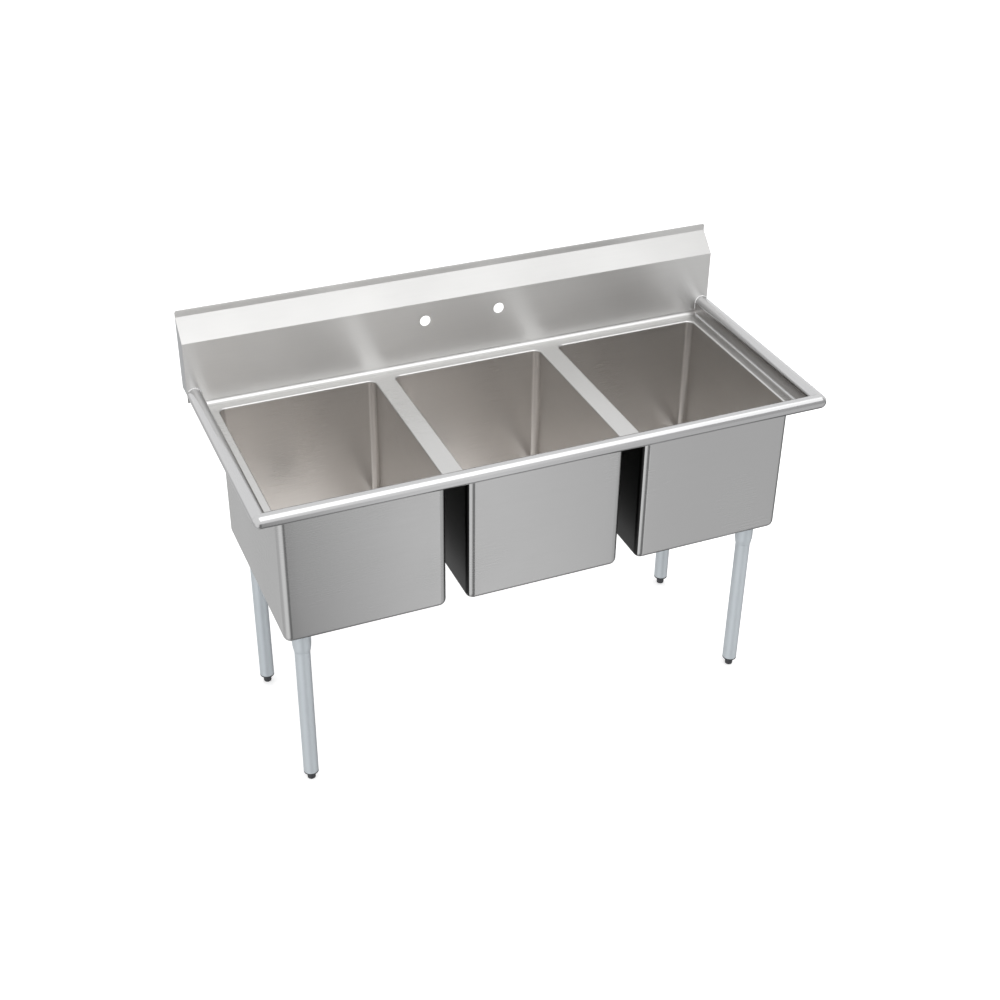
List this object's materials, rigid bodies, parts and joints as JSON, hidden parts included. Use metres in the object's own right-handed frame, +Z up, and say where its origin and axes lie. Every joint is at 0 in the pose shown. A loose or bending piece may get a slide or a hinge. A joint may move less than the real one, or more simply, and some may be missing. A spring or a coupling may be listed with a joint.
{
  "type": "three compartment sink",
  "caption": "Free-standing three compartment sink with rolled rims, a splash with two faucet holes, tubular legs on levelling feet and basket strainer drains.",
  "frame": {"origin": "on the floor under the middle of the sink, half way between the front of the rolled rim and the wall", "axes": "+X to the right as seen from the front, -Y towards the user, +Y towards the wall, +Z up"},
  "size_m": [1.448, 0.662, 1.085],
  "materials": {
    "stainless": "number 4 brushed stainless sheet",
    "weld": "bright ground weld",
    "fastener": "plain steel screw",
    "galvanised": "dull galvanised tube",
    "black_plastic": "moulded nylon",
    "drain_steel": "polished stainless",
    "rubber": "soft black rubber",
    "fibre": "pressed fibre",
    "cast_zinc": "die-cast zinc",
    "plated_brass": "chromed brass"
  },
  "bodies": {
    "sink": {"top_deck": "stainless", "rim_front": "stainless", "rim_left": "stainless", "rim_right": "stainless", "backsplash": "stainless", "end_cap_left": "stainless", "end_cap_right": "stainless", "rim_weld_beads": "weld", "bowl_left": "stainless", "bowl_center": "stainless", "bowl_right": "stainless", "leg_socket_front_left": "galvanised", "leg_socket_front_right": "galvanised", "leg_socket_back_left": "galvanised", "leg_socket_back_right": "galvanised", "socket_set_screws": "fastener", "leg_front_left": "galvanised", "leg_front_right": "galvanised", "leg_back_left": "galvanised", "leg_back_right": "galvanised", "foot_collar_front_left": "black_plastic", "foot_collar_front_right": "black_plastic", "foot_collar_back_left": "black_plastic", "foot_collar_back_right": "black_plastic", "drain_body_left": "drain_steel", "drain_body_center": "drain_steel", "drain_body_right": "drain_steel", "drain_gasket_left": "rubber", "drain_gasket_center": "rubber", "drain_gasket_right": "rubber", "friction_washer_left": "fibre", "friction_washer_center": "fibre", "friction_washer_right": "fibre", "locknut_left": "cast_zinc", "locknut_center": "cast_zinc", "locknut_right": "cast_zinc", "tailpiece_left": "drain_steel", "tailpiece_center": "drain_steel", "tailpiece_right": "drain_steel", "coupling_nut_left": "plated_brass", "coupling_nut_center": "plated_brass", "coupling_nut_right": "plated_brass"},
    "foot_front_left_body": {"foot_front_left": "black_plastic"},
    "foot_front_right_body": {"foot_front_right": "black_plastic"},
    "foot_back_left_body": {"foot_back_left": "black_plastic"},
    "foot_back_right_body": {"foot_back_right": "black_plastic"},
    "basket_left_body": {"basket_left": "drain_steel", "basket_post_left": "drain_steel", "basket_stopper_left": "rubber"},
    "basket_center_body": {"basket_center": "drain_steel", "basket_post_center": "drain_steel", "basket_stopper_center": "rubber"},
    "basket_right_body": {"basket_right": "drain_steel", "basket_post_right": "drain_steel", "basket_stopper_right": "rubber"}
  },
  "joints": [
    {"name": "foot_front_left_height", "type": "slide", "parent": "sink", "child": "foot_front_left_body", "axis": [0, 0, -1], "range_m": [0, 0.025]},
    {"name": "foot_front_right_height", "type": "slide", "parent": "sink", "child": "foot_front_right_body", "axis": [0, 0, -1], "range_m": [0, 0.025]},
    {"name": "foot_back_left_height", "type": "slide", "parent": "sink", "child": "foot_back_left_body", "axis": [0, 0, -1], "range_m": [0, 0.025]},
    {"name": "foot_back_right_height", "type": "slide", "parent": "sink", "child": "foot_back_right_body", "axis": [0, 0, -1], "range_m": [0, 0.025]},
    {"name": "basket_left_lift", "type": "slide", "parent": "sink", "child": "basket_left_body", "axis": [0, 0, 1], "range_m": [0, 0.47]},
    {"name": "basket_center_lift", "type": "slide", "parent": "sink", "child": "basket_center_body", "axis": [0, 0, 1], "range_m": [0, 0.47]},
    {"name": "basket_right_lift", "type": "slide", "parent": "sink", "child": "basket_right_body", "axis": [0, 0, 1], "range_m": [0, 0.47]}
  ]
}
